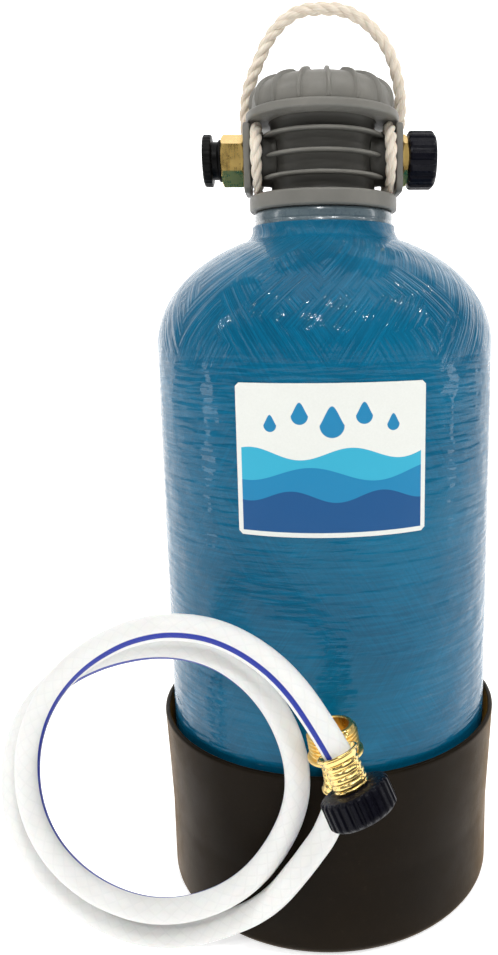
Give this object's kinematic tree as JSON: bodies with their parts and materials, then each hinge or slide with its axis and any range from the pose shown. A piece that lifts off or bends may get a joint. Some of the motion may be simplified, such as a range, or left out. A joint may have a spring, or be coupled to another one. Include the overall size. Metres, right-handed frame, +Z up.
{
  "type": "portable water filter",
  "caption": "Portable wound-tank water filter in a rubber boot, with an in-out head, rope handle, brass ports and a short coupling hose.",
  "frame": {"origin": "centre of the boot's underside, on the floor that the filter stands on", "axes": "+Z up along the tank and its head; +X towards the inlet port with the swivel nut; the label faces -Y, the front"},
  "size_m": [0.3079, 0.299, 0.5516],
  "materials": {
    "boot_rubber": "satin moulded, faintly brown where light grazes it",
    "wound_resin": "glossy blue resin over wound glass fibre, with pale strand glints",
    "white_moulding": "plain moulded",
    "grey_moulding": "fine-textured moulding, warm mid grey",
    "resin_beads": "amber beads",
    "label_film": "satin printed film",
    "black_rubber": "moulded",
    "brass": "machined",
    "ferrule_brass": "crimped and polished",
    "black_moulding": "satin moulded",
    "steel_wire": "woven wire",
    "plug_vinyl": "satin moulded",
    "rope": "three-strand twisted fibre",
    "hose_vinyl": "satin white vinyl with one blue line"
  },
  "bodies": {
    "tank": {"boot": "boot_rubber", "tank_winding": "wound_resin", "tank_liner": "white_moulding", "neck_collar": "grey_moulding", "resin_bed": "resin_beads", "riser_tube": "white_moulding", "lower_basket": "white_moulding", "label_sheet": "label_film"},
    "head_seal": {"head_o_ring": "black_rubber"},
    "head": {"head_seat": "grey_moulding", "head_housing": "grey_moulding", "head_grip": "grey_moulding", "riser_o_ring": "black_rubber", "upper_basket": "white_moulding", "inlet_tailpiece": "brass", "outlet_adapter": "brass", "rope_lashing": "rope", "rope_knot": "rope"},
    "inlet_nut": {"inlet_swivel_nut": "black_moulding", "inlet_washer": "black_rubber", "inlet_screen": "steel_wire"},
    "outlet_plug": {"outlet_plug": "plug_vinyl"},
    "handle": {"rope_arch": "rope"},
    "hose": {"hose_tube": "hose_vinyl", "hose_nut_ferrule": "ferrule_brass", "hose_nut_stem": "brass", "hose_end_ferrule": "ferrule_brass", "hose_end_coupling": "brass"},
    "hose_nut": {"hose_swivel_nut": "black_moulding", "hose_washer": "black_rubber"}
  },
  "joints": [
    {"name": "head_lift", "type": "slide", "parent": "tank", "child": "head_seal", "axis": [0, 0, 1], "range_m": [0, 0.0223]},
    {"name": "head_turn", "type": "hinge", "parent": "head_seal", "child": "head", "pos_m": [0, 0, 0.43], "axis": [0, 0, 1], "range_deg": [0, 2520]},
    {"name": "inlet_nut_spin", "type": "hinge", "parent": "head", "child": "inlet_nut", "pos_m": [0.06, 0, 0.461], "axis": [1, 0, 0], "continuous": true},
    {"name": "outlet_plug_pull", "type": "slide", "parent": "head", "child": "outlet_plug", "axis": [-1, 0, 0], "range_m": [0, 0.06]},
    {"name": "handle_fold", "type": "hinge", "parent": "head", "child": "handle", "pos_m": [0, 0.0205, 0.477], "axis": [1, 0, 0], "range_deg": [-90, 14]},
    {"name": "hose_away", "type": "slide", "parent": "tank", "child": "hose", "axis": [-0.225, -0.9744, 0], "range_m": [0, 0.15]},
    {"name": "hose_nut_spin", "type": "hinge", "parent": "hose", "child": "hose_nut", "pos_m": [0.00805, -0.17041, 0.14122], "axis": [0.3973, -0.2586, -0.8805], "continuous": true}
  ],
  "couplings": [
    {"joint": "head_lift", "follows": "head_turn", "m_per_rad": 0.000505}
  ]
}
